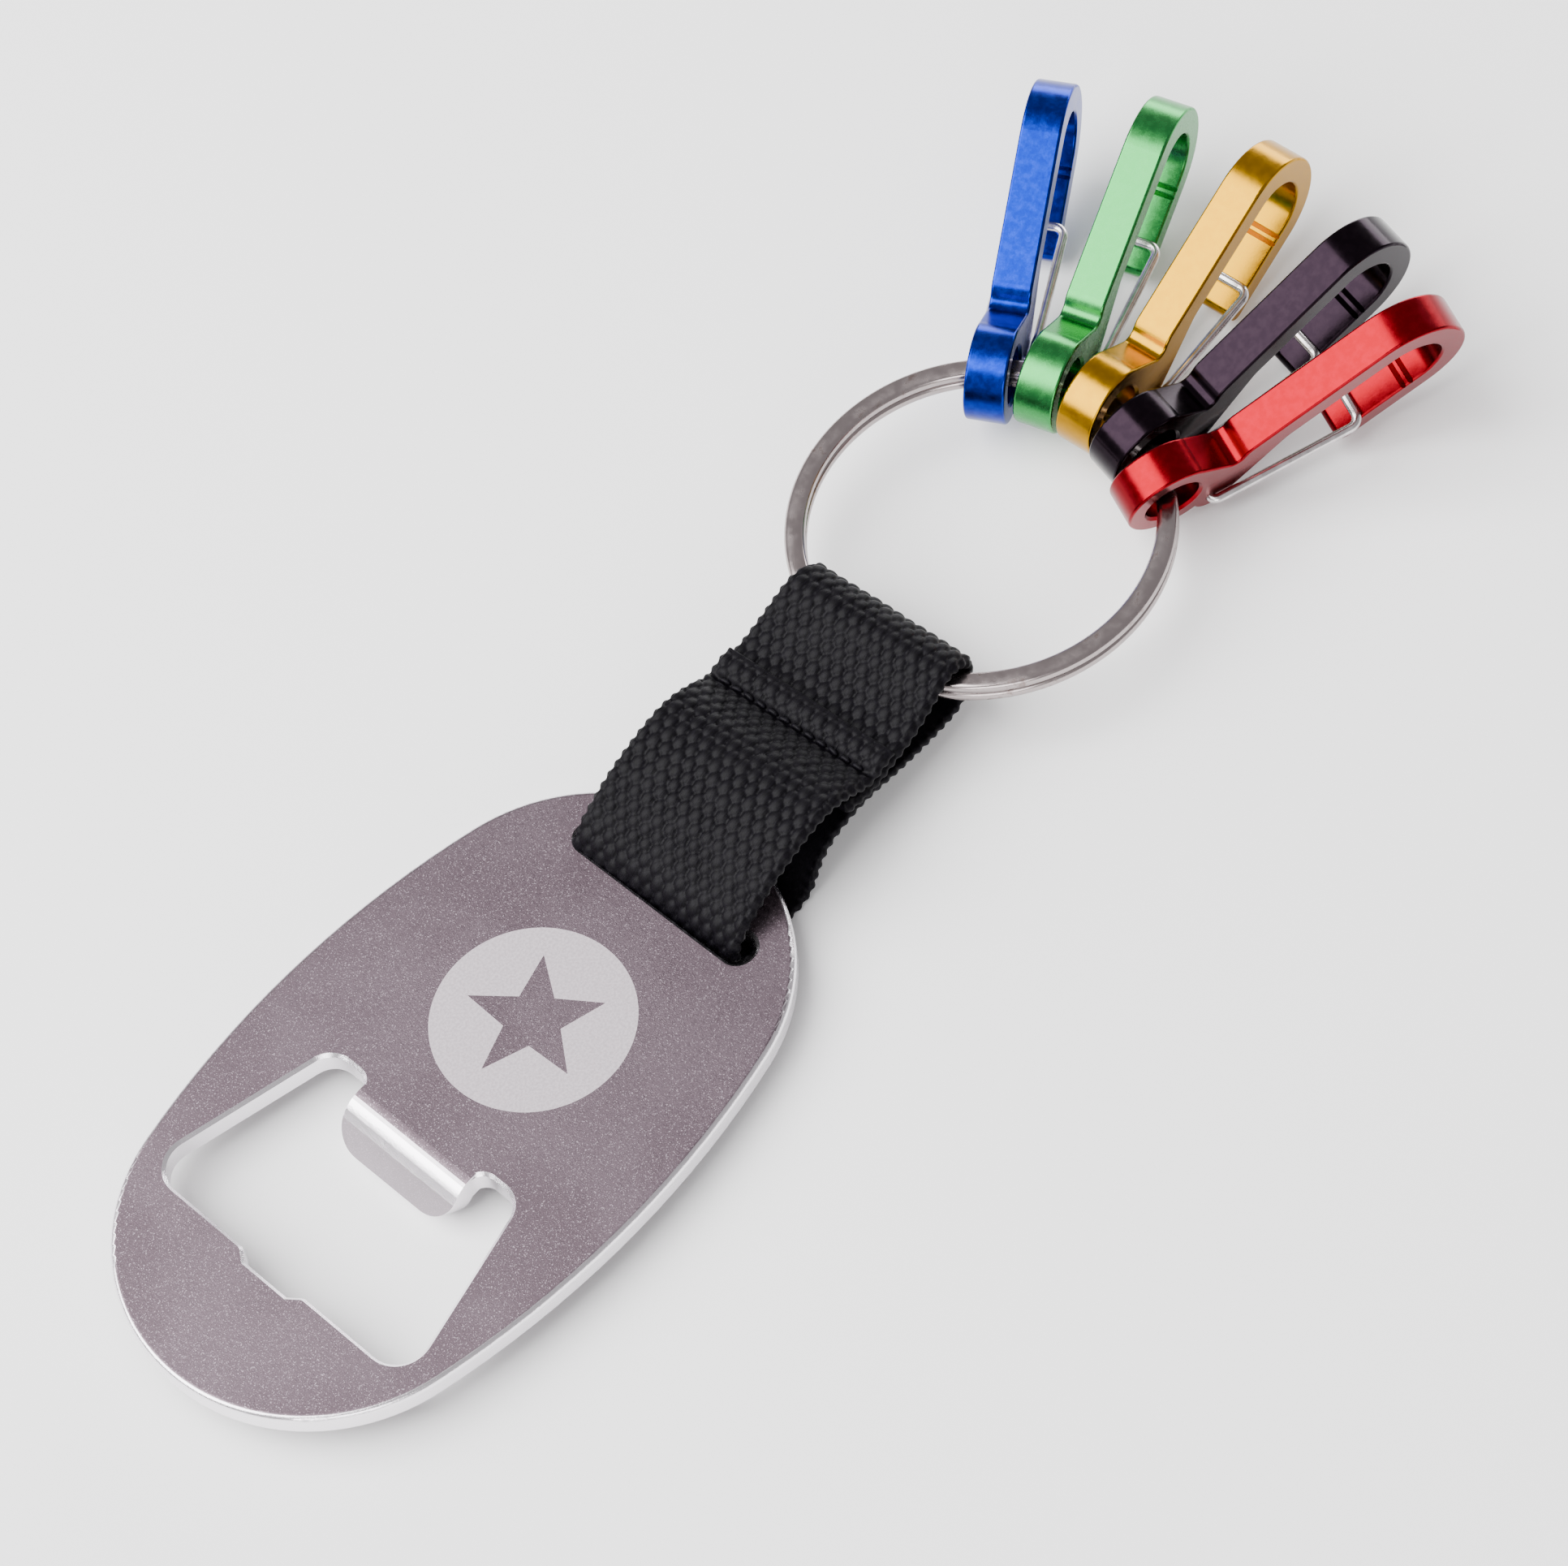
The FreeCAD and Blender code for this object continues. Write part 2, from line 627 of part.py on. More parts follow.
def clip(colour, frame):
    body = new_body(f"clip_{colour}")
    gauge = "clip_gauge"

    hook = [
        ("clip_spine_start", "clip_spine_level"),
        (ARCH_END, "clip_spine_level"),
        (ARCH_END, NOSE_OUTER),
        (NOSE_END, NOSE_OUTER),
        (NOSE_END, NOSE_INNER),
        (f"{ARCH_END} - clip_spine_wall", NOSE_INNER),
        (f"{ARCH_END} - clip_spine_wall", SPINE_INNER),
        ("clip_spine_start + clip_throat_run", SPINE_INNER),
        ("gate_pivot_run + gate_lobe_radius", "-gate_pivot_drop - gate_lobe_sink"),
        ("0", "-clip_root_drop"),
        ("0", "clip_root_rise"),
        ("clip_root_run", "clip_root_shoulder"),
        ("clip_spine_start - clip_waist_run", "clip_notch_level"),
    ]
    outline = new_sketch(body, "Hook")
    polygon(outline, hook)
    pad(body, "HookPad", outline, gauge)
    round_corners(body, "ArchOutside", [hook[1], hook[2]], "clip_width / 2 - clip_arch_flat")
    round_corners(body, "ArchInside", [hook[5], hook[6]],
                  "(clip_width - clip_spine_wall - clip_nose_wall) / 2 - clip_arch_flat")
    round_corners(body, "NoseEnd", [hook[3], hook[4]], "clip_nose_round")
    round_corners(body, "Throat", [hook[7]], "clip_throat_run")
    round_corners(body, "Waist", [hook[12]], "clip_waist_round")
    round_corners(body, "Shoulder", [hook[0]], "clip_shoulder_round")

    eye = new_sketch(body, "EyeRound")
    circle(eye, "clip_eye_radius")
    pad(body, "EyeBoss", eye, gauge)
    lobe = new_sketch(body, "GateLobe")
    circle(lobe, "gate_lobe_radius", "gate_pivot_run", "-gate_pivot_drop")
    pad(body, "GateBoss", lobe, gauge)

    half = value_of(gauge) / 2

    def face_edge(edge):
        box = edge.BoundBox
        return box.ZLength < TINY and abs(abs(box.ZMin) - half) < CLOSE
    round_edges(body, "FaceEdges", face_edge, "clip_edge_round")

    hole = new_sketch(body, "EyeHole")
    circle(hole, "clip_eye_hole")
    pocket(body, "EyeBore", hole, gauge)
    radius = value_of("clip_eye_hole")

    def hole_edge(edge):
        box = edge.BoundBox
        return box.ZLength < TINY and abs(box.XLength - 2 * radius) < CLOSE
    bevel_edges(body, "EyeBreak", hole_edge, "clip_edge_round")

    pins = new_sketch(body, "GatePins")
    circle(pins, "gate_wire / 2 + gate_pin_play", "gate_pivot_run", "-gate_pivot_drop")
    pocket(body, "GateBore", pins, gauge)

    groove_x = f"{CLIP_TIP} - clip_grip_reach"
    for index in range(2):
        near = f"({groove_x} - clip_grip_spacing * {index})"
        groove = new_sketch(body, f"Grip{index + 1}")
        polygon(groove, [
            (near, f"{NOSE_INNER} - clip_grip_groove"),
            (f"{near} + clip_grip_groove", NOSE_INNER),
            (f"{near} + clip_grip_groove", f"{NOSE_INNER} + clip_grip_groove"),
            (f"{near} - clip_grip_groove", f"{NOSE_INNER} + clip_grip_groove"),
            (f"{near} - clip_grip_groove", NOSE_INNER),
        ])
        pocket(body, f"GripCut{index + 1}", groove, gauge)
    body.Placement = frame
    return body


def gate_frame(clip_placement):
    """A gate's frame: its pins on the clip's bore, X along its legs, Z along its pins."""
    run = value_of("gate_rest_run")
    sink = value_of(GATE_SINK)
    pivot = Vector(value_of("gate_pivot_run"), value_of("-gate_pivot_drop"), 0)
    lean = Rotation(Vector(0, 0, 1), -math.degrees(math.atan2(sink, run)))
    return clip_placement.multiply(FreeCAD.Placement(pivot, lean))


def gate(colour, frame):
    """A wire bent to a U: two pins in the body, two legs and the bar that shuts the nose."""
    body = new_body(f"gate_{colour}")
    pin = "(clip_gauge / 2 - gate_pin_depth)"
    leg = "(clip_gauge / 2 + gate_side_play + gate_wire / 2)"
    reach = f"sqrt(gate_rest_run^2 + {GATE_SINK}^2)"
    small = "gate_pin_bend"
    large = "gate_bar_bend"
    near_low = f"({leg} - {small})"
    far_low = f"({leg} - {large})"
    far_run = f"({reach} - {large})"

    # Straight pieces from the first pin's end round to the last one's, then the bends
    # between them: centre, radius, start angle, and the two line ends each one joins.
    runs = [
        (("0", pin), ("0", near_low)),
        ((small, leg), (far_run, leg)),
        ((reach, far_low), (reach, f"-{far_low}")),
        ((far_run, f"-{leg}"), (small, f"-{leg}")),
        (("0", f"-{near_low}"), ("0", f"-{pin}")),
    ]
    bends = [
        (small, near_low, small, 90, (1, 1), (0, 2)),
        (far_run, far_low, large, 0, (2, 1), (1, 2)),
        (far_run, f"-{far_low}", large, 270, (3, 1), (2, 2)),
        (small, f"-{near_low}", small, 180, (4, 1), (3, 2)),
    ]
    path = new_sketch(body, "GatePath", "XZ_Plane")
    lines = []
    for start, end in runs:
        places = [Vector(value_of(x), value_of(y), 0) for x, y in (start, end)]
        line = path.addGeometry(Part.LineSegment(*places), False)
        pin_point(path, line, 1, *start)
        pin_point(path, line, 2, *end)
        lines.append(line)
    for x, y, radius, start_angle, first, last in bends:
        base = Part.Circle(Vector(value_of(x), value_of(y), 0), Vector(0, 0, 1), value_of(radius))
        span = (math.radians(start_angle), math.radians(start_angle + 90))
        arc = path.addGeometry(Part.ArcOfCircle(base, *span), False)
        for arc_end, (line, line_end) in ((1, first), (2, last)):
            joint = Sketcher.Constraint("Coincident", arc, arc_end, lines[line], line_end)
            path.addConstraint(joint)
        index = path.addConstraint(Sketcher.Constraint("DistanceX", -1, 1, arc, 3, value_of(x)))
        bind(path, f"Constraints[{index}]", x)

    wire = new_sketch(body, "WireSection")
    wire.AttachmentOffset = FreeCAD.Placement(Vector(0, 0, value_of(pin)), Rotation())
    bind(wire, "AttachmentOffset.Base.z", pin)
    circle(wire, "gate_wire / 2")
    doc.recompute()
    pipe = body.newObject("PartDesign::AdditivePipe", "Wire")
    pipe.Profile = wire
    pipe.Spine = path
    doc.recompute()
    body.Placement = frame
    return body


def main():
    opener_plate()
    strap_anchor()
    strap()
    seam_thread()
    split_ring()
    for colour, *pose in CLIPS:
        frame = clip_frame(*pose)
        clip(colour, frame)
        gate(colour, gate_frame(frame))


main()
doc.recompute()
os.makedirs("parts", exist_ok=True)
for made in doc.Objects:
    if "Invalid" in made.State or "Error" in made.State:
        raise RuntimeError(f"{made.Label} failed: {made.State}")
pieces = [made for made in doc.Objects
          if made.TypeId in ("PartDesign::Body", "Part::Feature")]
for piece in pieces:
    if piece.Shape.isNull() or not piece.Shape.isValid():
        raise RuntimeError(f"{piece.Label} has no valid shape")
for piece in pieces:
    piece.Shape.exportStep(os.path.join("parts", f"{piece.Label}.step"))
    print(piece.Label, round(piece.Shape.Volume, 2), piece.Shape.BoundBox)
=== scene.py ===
import math
import random

import bpy
import numpy as np
from mathutils import Matrix, Vector


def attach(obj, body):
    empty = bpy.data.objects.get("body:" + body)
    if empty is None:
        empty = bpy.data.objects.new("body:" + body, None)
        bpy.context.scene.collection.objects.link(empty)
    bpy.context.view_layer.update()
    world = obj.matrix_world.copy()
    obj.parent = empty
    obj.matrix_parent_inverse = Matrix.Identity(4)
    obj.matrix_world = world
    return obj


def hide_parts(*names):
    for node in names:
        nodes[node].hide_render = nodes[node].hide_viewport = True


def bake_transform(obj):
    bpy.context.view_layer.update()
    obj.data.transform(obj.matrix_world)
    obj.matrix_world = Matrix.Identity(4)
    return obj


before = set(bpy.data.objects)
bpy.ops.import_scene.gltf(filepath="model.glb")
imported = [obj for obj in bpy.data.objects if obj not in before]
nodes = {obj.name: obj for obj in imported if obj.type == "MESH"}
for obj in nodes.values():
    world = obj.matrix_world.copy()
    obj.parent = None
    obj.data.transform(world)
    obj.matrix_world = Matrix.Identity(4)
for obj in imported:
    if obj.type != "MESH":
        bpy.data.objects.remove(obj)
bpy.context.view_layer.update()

MM = 0.001

# Sizes shared with the CAD, in millimetres, in the row frame: +X from the opener's tip to
# the ring, +Z up, origin in the middle of the plate's underside.
PLATE_TOP = 2.6
SLOT_X = 25.8
STRAP_SKEW = math.radians(3.1)
WEBBING_WIDTH = 18.6
RING_RADIUS = 16.6
RING_RADIAL = 1.9
RING_AXIAL = 2.4
RING_HEIGHT = 6.2
RING_TILT = math.radians(2.4)
RING_RUN = 44.2
LIP_HALF_WIDTH = 6.69
LIP_FACE_X = (-9.05, -7.35)
CLIP_COLOURS = ("blue", "green", "gold", "black", "red")

BOW = RING_RADIUS - math.sqrt(RING_RADIUS ** 2 - (WEBBING_WIDTH / 2) ** 2)
EYE = (RING_RUN - RING_RADIUS + BOW / 2, RING_HEIGHT - RING_RADIUS * math.sin(RING_TILT))

STRAP_FRAME = Matrix.Translation((SLOT_X * MM, 0, 0)) @ Matrix.Rotation(STRAP_SKEW, 4, "Z")
RING_FRAME = (STRAP_FRAME @ Matrix.Translation((RING_RUN * MM, 0, RING_HEIGHT * MM))
              @ Matrix.Rotation(-RING_TILT, 4, "Y"))


# ---------------------------------------------------------------- materials

def material(name):
    """A new material, with its node tree and its surface shader."""
    made = bpy.data.materials.new(name)
    made.use_nodes = True
    tree = made.node_tree
    shader = tree.nodes["Principled BSDF"]
    return made, tree, shader


def node(tree, kind, inputs=(), **settings):
    """A node with its settings; each named input takes a value or another node's output."""
    made = tree.nodes.new(kind)
    for name, value in settings.items():
        setattr(made, name, value)
    for name, value in dict(inputs).items():
        if isinstance(value, bpy.types.NodeSocket):
            tree.links.new(value, made.inputs[name])
        else:
            made.inputs[name].default_value = value
    return made


def math_node(tree, operation, first, second=0.0):
    """The output of one sum on two values or outputs."""
    made = tree.nodes.new("ShaderNodeMath")
    made.operation = operation
    for socket, value in zip(made.inputs, (first, second)):
        if isinstance(value, bpy.types.NodeSocket):
            tree.links.new(value, socket)
        else:
            socket.default_value = value
    return made.outputs[0]


def mix_colour(tree, factor, first, second):
    """The first colour at factor 0, the second at factor 1."""
    made = tree.nodes.new("ShaderNodeMix")
    made.data_type = "RGBA"
    for index, value in ((0, factor), (6, first), (7, second)):
        if isinstance(value, bpy.types.NodeSocket):
            tree.links.new(value, made.inputs[index])
        else:
            made.inputs[index].default_value = value
    return made.outputs[2]


def smooth_range(tree, value, low, high, to_low=0.0, to_high=1.0):
    """The value eased from one range to another; low may be above high."""
    made = node(tree, "ShaderNodeMapRange",
                {"From Min": low, "From Max": high, "To Min": to_low, "To Max": to_high},
                interpolation_type="SMOOTHSTEP")
    tree.links.new(value, made.inputs["Value"])
    return made.outputs["Result"]


def link(tree, output, shader, name):
    tree.links.new(output, shader.inputs[name])


def grains(tree, coordinates, scale, detail):
    """Noise with about this many grains to the metre."""
    return node(tree, "ShaderNodeTexNoise",
                {"Vector": coordinates, "Scale": scale, "Detail": detail, "Roughness": 0.6})


def blasted_plate():
    """Fine blasted aluminium with painted glints on its grains and painted shade in its pits;
    rounded edges and the lip's bend polished.
    """
    made, tree, shader = material("blasted_aluminium")
    place = node(tree, "ShaderNodeTexCoord").outputs["Object"]
    geometry = node(tree, "ShaderNodeNewGeometry")
    normal = node(tree, "ShaderNodeSeparateXYZ", {"Vector": geometry.outputs["True Normal"]})
    at = node(tree, "ShaderNodeSeparateXYZ", {"Vector": place})

    upright = math_node(tree, "ABSOLUTE", normal.outputs["Z"])
    edge = smooth_range(tree, upright, 0.985, 0.90)
    # The lip's slanted face is blasted like the plate; its bend is polished.
    sideways = math_node(tree, "ABSOLUTE", at.outputs["Y"])
    on_lip = math_node(tree, "LESS_THAN", sideways, LIP_HALF_WIDTH * MM)
    on_lip = math_node(tree, "MULTIPLY", on_lip,
                       math_node(tree, "GREATER_THAN", at.outputs["X"], LIP_FACE_X[0] * MM))
    on_lip = math_node(tree, "MULTIPLY", on_lip,
                       math_node(tree, "LESS_THAN", at.outputs["X"], LIP_FACE_X[1] * MM))
    on_lip = math_node(tree, "MULTIPLY", on_lip,
                       math_node(tree, "GREATER_THAN", normal.outputs["Z"], 0.5))
    polish = math_node(tree, "MULTIPLY", edge, math_node(tree, "SUBTRACT", 1.0, on_lip))

    fine = grains(tree, place, 8200.0, 1.0).outputs["Fac"]
    coarse = grains(tree, place, 2600.0, 2.0).outputs["Fac"]
    cloud = grains(tree, place, 90.0, 2.0).outputs["Fac"]
    # Painted glints: the brightest grains of the fine noise get a paler base colour, standing in
    # for light caught by the blasted grains.
    painted_glint = smooth_range(tree, fine, 0.60, 0.72)
    # Painted shade: the lowest grains of the bump, its pits, get a darker base colour.
    pit_painted_shade = smooth_range(tree, fine, 0.42, 0.30)
    base = mix_colour(tree, painted_glint, (0.118, 0.088, 0.104, 1), (0.36, 0.30, 0.34, 1))
    base = mix_colour(tree, math_node(tree, "MULTIPLY", pit_painted_shade, 0.35), base, (0.085, 0.06, 0.075, 1))
    base = mix_colour(tree, smooth_range(tree, cloud, 0.35, 0.65, 0.0, 0.12), base,
                      (0.30, 0.24, 0.28, 1))
    base = mix_colour(tree, math_node(tree, "MULTIPLY", on_lip, 0.5), base, (0.50, 0.46, 0.49, 1))
    base = mix_colour(tree, polish, base, (0.90, 0.86, 0.90, 1))
    link(tree, base, shader, "Base Color")
    shader.inputs["Metallic"].default_value = 1.0
    dull = smooth_range(tree, coarse, 0.35, 0.65, 0.40, 0.52)
    rough = node(tree, "ShaderNodeMix", data_type="FLOAT")
    tree.links.new(polish, rough.inputs[0])
    tree.links.new(dull, rough.inputs[2])
    rough.inputs[3].default_value = 0.24
    link(tree, rough.outputs[0], shader, "Roughness")
    height = math_node(tree, "ADD", fine, math_node(tree, "MULTIPLY", coarse, 0.8))
    bump = node(tree, "ShaderNodeBump", {"Strength": 0.45, "Distance": 0.03 * MM, "Height": height})
    link(tree, bump.outputs["Normal"], shader, "Normal")
    return made


def printed_emblem():
    """A flat pale print, as dull as the plate it is on."""
    made, tree, shader = material("emblem_print")
    place = node(tree, "ShaderNodeTexCoord").outputs["Object"]
    fine = grains(tree, place, 4200.0, 1.0).outputs["Fac"]
    base = mix_colour(tree, smooth_range(tree, fine, 0.3, 0.7), (0.38, 0.33, 0.36, 1),
                      (0.47, 0.42, 0.45, 1))
    link(tree, base, shader, "Base Color")
    shader.inputs["Roughness"].default_value = 0.55
    return made


def webbing_yarn(name, base, pale):
    """Dark spun yarn: fine threads running along the strap."""
    made, tree, shader = material(name)
    place = node(tree, "ShaderNodeTexCoord").outputs["Object"]
    stretch = node(tree, "ShaderNodeMapping", {"Vector": place, "Scale": (1.0, 6.0, 2.0)})
    thread = grains(tree, stretch.outputs["Vector"], 1700.0, 2.0).outputs["Fac"]
    tone = mix_colour(tree, smooth_range(tree, thread, 0.3, 0.75), base, pale)
    link(tree, tone, shader, "Base Color")
    shader.inputs["Roughness"].default_value = 0.50
    shader.inputs["Specular IOR Level"].default_value = 0.10
    bump = node(tree, "ShaderNodeBump", {"Strength": 0.5, "Distance": 0.05 * MM, "Height": thread})
    link(tree, bump.outputs["Normal"], shader, "Normal")
    return made


def nickel():
    """Bright drawn nickel with specks of wear."""
    made, tree, shader = material("bright_nickel")
    place = node(tree, "ShaderNodeTexCoord").outputs["Object"]
    wear = grains(tree, place, 700.0, 3.0).outputs["Fac"]
    base = mix_colour(tree, smooth_range(tree, wear, 0.58, 0.72), (0.38, 0.33, 0.325, 1),
                      (0.24, 0.19, 0.18, 1))
    link(tree, base, shader, "Base Color")
    shader.inputs["Metallic"].default_value = 1.0
    link(tree, smooth_range(tree, wear, 0.3, 0.75, 0.16, 0.30), shader, "Roughness")
    return made


def steel_wire():
    """Plain drawn steel, slightly duller than the ring."""
    made, tree, shader = material("gate_steel")
    place = node(tree, "ShaderNodeTexCoord").outputs["Object"]
    wear = grains(tree, place, 900.0, 2.0).outputs["Fac"]
    base = mix_colour(tree, smooth_range(tree, wear, 0.3, 0.7), (0.56, 0.53, 0.53, 1),
                      (0.74, 0.70, 0.70, 1))
    link(tree, base, shader, "Base Color")
    shader.inputs["Metallic"].default_value = 1.0
    shader.inputs["Roughness"].default_value = 0.27
    return made


def anodised(colour, deep, pale, roughness):
    """Satin anodised aluminium: clear colour, slightly cloudy where the part was tumbled."""
    made, tree, shader = material(f"anodised_{colour}")
    place = node(tree, "ShaderNodeTexCoord").outputs["Object"]
    cloud = grains(tree, place, 1300.0, 3.0).outputs["Fac"]
    fine = grains(tree, place, 3600.0, 1.0).outputs["Fac"]
    tone = mix_colour(tree, smooth_range(tree, cloud, 0.35, 0.70), deep, pale)
    link(tree, tone, shader, "Base Color")
    shader.inputs["Metallic"].default_value = 1.0
    link(tree, smooth_range(tree, cloud, 0.3, 0.7, roughness - 0.02, roughness + 0.03),
         shader, "Roughness")
    bump = node(tree, "ShaderNodeBump", {"Strength": 0.12, "Distance": 0.02 * MM, "Height": fine})
    link(tree, bump.outputs["Normal"], shader, "Normal")
    return made


def paint(piece, made):
    """Give a CAD node or a piece one material everywhere."""
    if not piece.material_slots:
        piece.data.materials.append(made)
    for slot in piece.material_slots:
        slot.link = "OBJECT"
        slot.material = made


plate_metal = blasted_plate()
yarn = webbing_yarn("webbing_yarn", (0.0012, 0.0009, 0.0015, 1), (0.0042, 0.0034, 0.0056, 1))
thread_yarn = webbing_yarn("stitch_yarn", (0.0016, 0.0013, 0.002, 1), (0.0055, 0.0045, 0.0075, 1))
ring_metal = nickel()
gate_metal = steel_wire()
ANODISED = {
    "blue": anodised("blue", (0.0014, 0.013, 0.22, 1), (0.0028, 0.024, 0.32, 1), 0.24),
    "green": anodised("green", (0.034, 0.24, 0.060, 1), (0.040, 0.27, 0.070, 1), 0.26),
    "gold": anodised("gold", (0.36, 0.178, 0.0012, 1), (0.40, 0.200, 0.0016, 1), 0.24),
    "black": anodised("black", (0.0105, 0.0065, 0.0100, 1), (0.0135, 0.0085, 0.0125, 1), 0.17),
    "red": anodised("red", (0.185, 0.0014, 0.0065, 1), (0.215, 0.0020, 0.009, 1), 0.24),
}


# ---------------------------------------------------------------- mesh helpers

def mesh_piece(name, points, faces, made, body=None):
    """A smooth mesh from points in metres, in the row frame."""
    mesh = bpy.data.meshes.new(name)
    mesh.from_pydata([tuple(p) for p in points], [], faces)
    mesh.validate()
    mesh.polygons.foreach_set("use_smooth", [True] * len(mesh.polygons))
    mesh.materials.append(made)
    piece = bpy.data.objects.new(name, mesh)
    bpy.context.scene.collection.objects.link(piece)
    if body:
        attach(piece, body)
    return piece


def tube_faces(rows, columns):
    """Quads between closed rows of points laid out row after row, and a cap on each end."""
    faces = []
    for row in range(rows - 1):
        for column in range(columns):
            following = (column + 1) % columns
            faces.append((row * columns + column, row * columns + following,
                          (row + 1) * columns + following, (row + 1) * columns + column))
    faces.append(tuple(range(columns - 1, -1, -1)))
    faces.append(tuple(range((rows - 1) * columns, rows * columns)))
    return faces


def turned_over(faces):
    return [tuple(reversed(face)) for face in faces]


# ---------------------------------------------------------------- webbing strap

def unit(angle):
    return np.array([math.cos(angle), math.sin(angle)])


# The webbing's middle line in the strap's XZ plane: the cut end, the seam, the arch over the
# plate, down through the slot, back under the plate's end and up to the ring.
NEAR_ROUTE = (
    (20.9, 6.60), (19.6, 6.35), (18.0, 5.85), (16.9, 6.15), (15.6, 6.90), (13.8, 7.70),
    (12.0, 8.00), (9.6, 7.65), (7.0, 6.85), (4.7, 5.95), (2.7, 4.90), (0.80, 3.75), (-0.30, 2.60),
    (-0.72, 1.30), (-0.45, 0.05), (0.70, -0.70), (2.8, -0.80), (5.5, -0.80), (7.3, -0.70),
    (8.6, -0.10), (9.5, 1.15), (10.6, 2.70), (12.2, 3.75), (14.0, 4.20), (16.0, 4.40),
    (18.0, 4.30), (20.5, 3.85), (24.0, 3.25),
)
# Back from the ring under the cut end, to the end hidden in the arch.
RETURN_ROUTE = (
    (24.8, 6.75), (22.6, 5.95), (20.4, 5.55), (18.0, 5.05), (16.0, 5.20), (14.4, 5.50),
)
SEAM_RUN = 2.95                   # from the cut end to the row of stitches
EYE_MIDDLE = 2.97                 # from the eye's centre to the webbing's middle line


def strap_route():
    """All points of the webbing's middle line, from the cut end on top to the hidden one."""
    centre = np.array(EYE)
    eye = [centre + unit(math.radians(angle)) * EYE_MIDDLE for angle in range(-100, 116, 18)]
    return np.array(list(NEAR_ROUTE) + eye + list(RETURN_ROUTE))


def even_route(points, spacing):
    """The route resampled at even steps along a smooth curve through its points."""
    dense = []
    padded = np.vstack([2 * points[0] - points[1], points, 2 * points[-1] - points[-2]])
    for i in range(1, len(padded) - 2):
        p0, p1, p2, p3 = padded[i - 1:i + 3]
        knots = np.cumsum([0] + [max(np.linalg.norm(b - a), 1e-6) ** 0.5
                                 for a, b in ((p0, p1), (p1, p2), (p2, p3))])
        t = np.linspace(knots[1], knots[2], 40, endpoint=False)[:, None]
        k0, k1, k2, k3 = knots
        a1 = (k1 - t) / (k1 - k0) * p0 + (t - k0) / (k1 - k0) * p1
        a2 = (k2 - t) / (k2 - k1) * p1 + (t - k1) / (k2 - k1) * p2
        a3 = (k3 - t) / (k3 - k2) * p2 + (t - k2) / (k3 - k2) * p3
        b1 = (k2 - t) / (k2 - k0) * a1 + (t - k0) / (k2 - k0) * a2
        b2 = (k3 - t) / (k3 - k1) * a2 + (t - k1) / (k3 - k1) * a3
        dense.append((k2 - t) / (k2 - k1) * b1 + (t - k1) / (k2 - k1) * b2)
    dense = np.vstack(dense + [points[-1:]])
    run = np.concatenate([[0], np.cumsum(np.linalg.norm(np.diff(dense, axis=0), axis=1))])
    count = int(round(run[-1] / spacing))
    at = np.linspace(0, run[-1], count + 1)
    line = np.column_stack([np.interp(at, run, dense[:, axis]) for axis in (0, 1)])
    return at, line


BEAD_ACROSS = 1.36                # pitch of the weave's beads across and along the webbing
BEAD_ALONG = 1.12
BEAD_HEIGHT = 0.48
BEAD_LEAN = 0.12
BEAD_HALF_ALONG = 0.76            # a bead's half sizes, as shares of the two pitches
BEAD_HALF_ACROSS = 0.53
BEAD_FULLNESS = 0.42              # 0.5 is a half ball, less is flatter on top
BEAD_SIZES = (0.90, 1.05)
JITTER_COUNT = 997
SELVEDGE_HEIGHT = 0.20
INNER_SHARE = 0.10                # how much of the beads shows on the inner face
RIB_HEIGHT = 0.02
LEAST_LIFT = 0.01

CORE = 0.30                       # half the webbing's thickness under the beads
EDGE_BULGE = 0.36
HALF_WIDTH = 9.35                 # at the slot, and how much of it is lost at the ring
NARROWING = 0.65
NARROWING_START, NARROWING_RUN = 18.0, 14.0
SIDEWAYS = 0.62                   # the middle's offset at the slot, and what the ring end loses
SIDEWAYS_LOSS = 0.50
SIDEWAYS_START, SIDEWAYS_RUN = 3.0, 26.0

SEAM_REACH = 0.55                 # how far along the seam's pull reaches
SEAM_FLATTENS = 0.55              # share of the beads' height that it takes
SEAM_SINKS = 0.10
MELT_REACH = 0.5
MELT_FLATTENS = 0.6

STEP_ALONG = 0.16
OUTER_COLUMNS = 116
EDGE_COLUMNS = 8
INNER_COLUMNS = 30

STITCH_COUNT = 12
STITCH_MARGIN = 2.2               # webbing width left without stitches, both edges together
STITCH_SHARE = 0.82               # of the pitch that one stitch covers
STITCH_STEPS = 6
STITCH_SLANT = 0.12
STITCH_ARCH = 0.16
STITCH_SEAT = 0.32                # above the webbing's core
STITCH_RADIUS = 0.20


def bead_height(along, across, jitter):
    """Height of the weave's beads: staggered rows of round yarn knuckles, 0 to 1."""
    best = np.zeros(np.broadcast(along, across).shape)
    row = np.round(along / BEAD_ALONG)
    for shift in (-1, 0, 1):
        this = row + shift
        offset = np.where(this % 2 == 0, 0.0, 0.5)
        column = np.round(across / BEAD_ACROSS - offset)
        index = (this.astype(int) * 31 + column.astype(int) * 17) % len(jitter)
        size = jitter[index]
        d_along = along - this * BEAD_ALONG
        d_across = across - (column + offset) * BEAD_ACROSS
        a = (d_along + BEAD_LEAN * d_across) / (BEAD_HALF_ALONG * BEAD_ALONG * size)
        b = (d_across - BEAD_LEAN * d_along) / (BEAD_HALF_ACROSS * BEAD_ACROSS * size)
        best = np.maximum(best, np.clip(1 - (a * a + b * b), 0, 1) ** BEAD_FULLNESS * size)
    return best


def strap_half_width(run):
    """Half the webbing's width at a run from the slot: a little narrower at the ring."""
    share = np.clip((run - NARROWING_START) / NARROWING_RUN, 0, 1)
    return HALF_WIDTH - NARROWING * share * share


def strap_sideways(run):
    """How far the webbing's middle lies towards +Y at a run from the slot."""
    share = np.clip((run - SIDEWAYS_START) / SIDEWAYS_RUN, 0, 1)
    return SIDEWAYS - SIDEWAYS_LOSS * share


